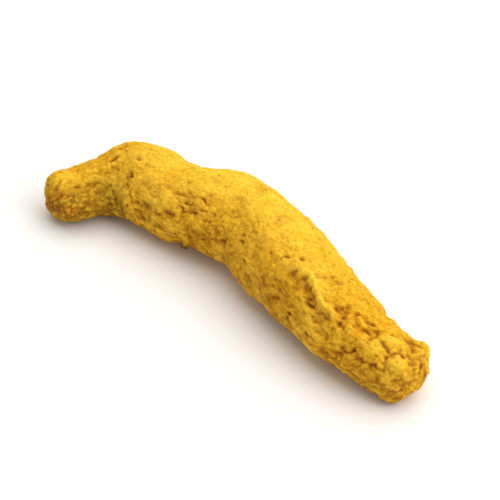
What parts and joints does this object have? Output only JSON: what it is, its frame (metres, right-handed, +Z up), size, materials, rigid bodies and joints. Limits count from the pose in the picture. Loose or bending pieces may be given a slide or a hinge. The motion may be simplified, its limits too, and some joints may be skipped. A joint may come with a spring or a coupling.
{
  "type": "dried turmeric root finger",
  "caption": "Dried turmeric finger lying on its side: a gently S-curved knobbly rhizome with leaf-scar rings, a blunt bud end and a rough snapped end.",
  "frame": {"origin": "middle of the base of the finger's box, on the surface that it rests on", "axes": "+Z up, +X along the finger from the bud end to the snapped end, +Y to the side that the middle of the finger bows towards"},
  "size_m": [0.0686, 0.0212, 0.0128],
  "materials": {
    "dry_skin": "matte"
  },
  "bodies": {
    "root": {"turmeric_finger": "dry_skin"}
  },
  "joints": []
}
